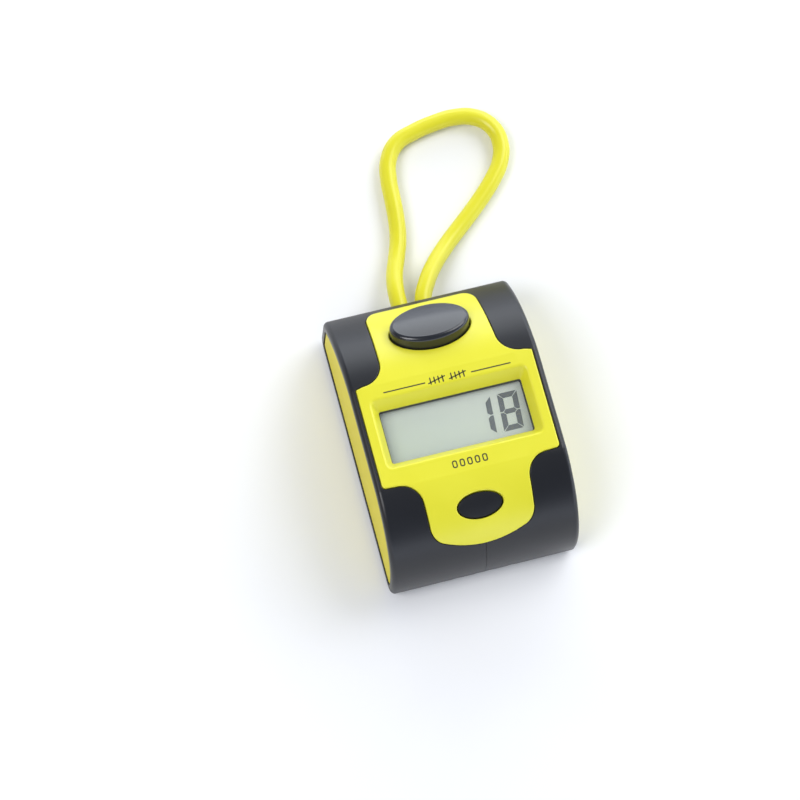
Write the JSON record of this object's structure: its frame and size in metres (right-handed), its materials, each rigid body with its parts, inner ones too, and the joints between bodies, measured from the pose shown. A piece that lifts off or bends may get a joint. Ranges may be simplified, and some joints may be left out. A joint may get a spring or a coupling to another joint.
{
  "type": "hand tally counter",
  "caption": "Hand-held electronic tally counter: curved two-tone case, sloped display window, large count button, flush reset button and a short lanyard loop.",
  "frame": {"origin": "middle of the flat back face of the case, on the surface that the counter lies on; the lanyard is not counted", "axes": "+Z out of the display, +Y along the case towards the count button and the lanyard, +X to the reader's right"},
  "size_m": [0.0473, 0.0942, 0.0236],
  "materials": {
    "black_case": "fine matt moulded black ABS",
    "yellow_plastic": "glossy yellow ABS",
    "clear_window": "clear acrylic",
    "lcd_glass": "display glass",
    "foil": "matt reflector foil",
    "white_plastic": "moulded",
    "zebra_rubber": "layered silicone",
    "board": "green solder mask",
    "epoxy": "potting",
    "components": "ceramic and metal",
    "steel": "plated",
    "count_key": "glossy black",
    "dome_rubber": "silicone",
    "copper_wire": "tinned copper",
    "reset_rubber": "matt black",
    "contact_metal": "spring strip",
    "anchor_plastic": "moulded",
    "yellow_cord": "glossy soft PVC"
  },
  "bodies": {
    "case": {"left_shell": "black_case", "right_shell": "black_case", "faceplate": "yellow_plastic", "left_side_cover": "yellow_plastic", "right_side_cover": "yellow_plastic", "display_window": "clear_window", "lcd_front_glass": "lcd_glass", "lcd_rear_glass": "lcd_glass", "lcd_reflector": "foil", "lcd_frame": "white_plastic", "zebra_connector": "zebra_rubber", "main_board": "board", "counter_chip": "epoxy", "board_components": "components", "board_screws": "steel", "count_dome": "dome_rubber", "count_board": "board", "count_wires": "copper_wire", "reset_dome": "dome_rubber", "battery_cell": "steel", "negative_contact": "contact_metal", "positive_contact": "contact_metal", "case_screws": "steel", "lanyard_anchor": "anchor_plastic", "lanyard_loop": "yellow_cord"},
    "count_key": {"count_button": "count_key"},
    "reset_key": {"reset_button": "reset_rubber"},
    "door": {"battery_door": "black_case"}
  },
  "joints": [
    {"name": "count_press", "type": "slide", "parent": "case", "child": "count_key", "axis": [0, -0.5078, -0.8615], "range_m": [0, 0.0012], "stiffness_N_per_m": 1200, "springref_m": -0.0006, "deforming": ["count_dome"]},
    {"name": "reset_press", "type": "slide", "parent": "case", "child": "reset_key", "axis": [0, 0, -1], "range_m": [0, 0.0006], "stiffness_N_per_m": 1200, "springref_m": -0.0004, "deforming": ["reset_dome"]},
    {"name": "battery_door_slide", "type": "slide", "parent": "case", "child": "door", "axis": [0, -1, 0], "range_m": [0, 0.02]}
  ]
}
